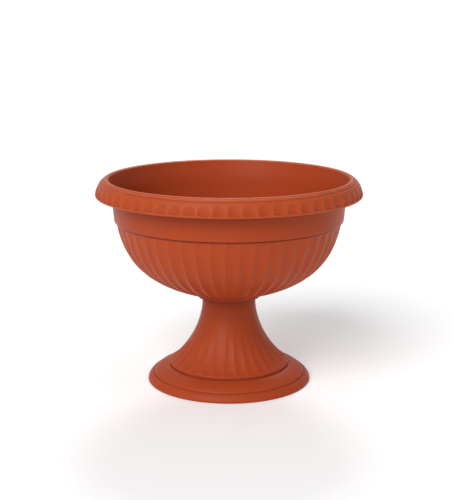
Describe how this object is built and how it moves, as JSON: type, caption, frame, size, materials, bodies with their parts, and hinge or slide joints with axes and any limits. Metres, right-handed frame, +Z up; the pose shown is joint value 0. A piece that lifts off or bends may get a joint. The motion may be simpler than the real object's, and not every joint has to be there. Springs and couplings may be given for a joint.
{
  "type": "footed garden urn",
  "caption": "Round fluted planter bowl with a rolled scalloped rim, twist-locked onto a hollow fluted pedestal with a stepped round foot.",
  "frame": {"origin": "centre of the foot's underside, on the surface that the urn stands on", "axes": "+Z up along the turning axis of bowl and pedestal; the urn looks the same all round, and -Y is taken as its front"},
  "size_m": [0.3998, 0.3998, 0.3133],
  "materials": {
    "terracotta_plastic": "satin moulded, fine grain",
    "plug_plastic": "matt moulded, softer grade"
  },
  "bodies": {
    "pedestal": {"pedestal": "terracotta_plastic"},
    "bowl": {"bowl": "terracotta_plastic"},
    "drain_plug": {"drain_plug": "plug_plastic"}
  },
  "joints": [
    {"name": "bowl_twist", "type": "hinge", "parent": "pedestal", "child": "bowl", "pos_m": [0, 0, 0.136], "axis": [0, 0, 1], "range_deg": [0, 40]},
    {"name": "plug_pull", "type": "slide", "parent": "bowl", "child": "drain_plug", "axis": [0, 0, 1], "range_m": [0, 0.03]}
  ]
}
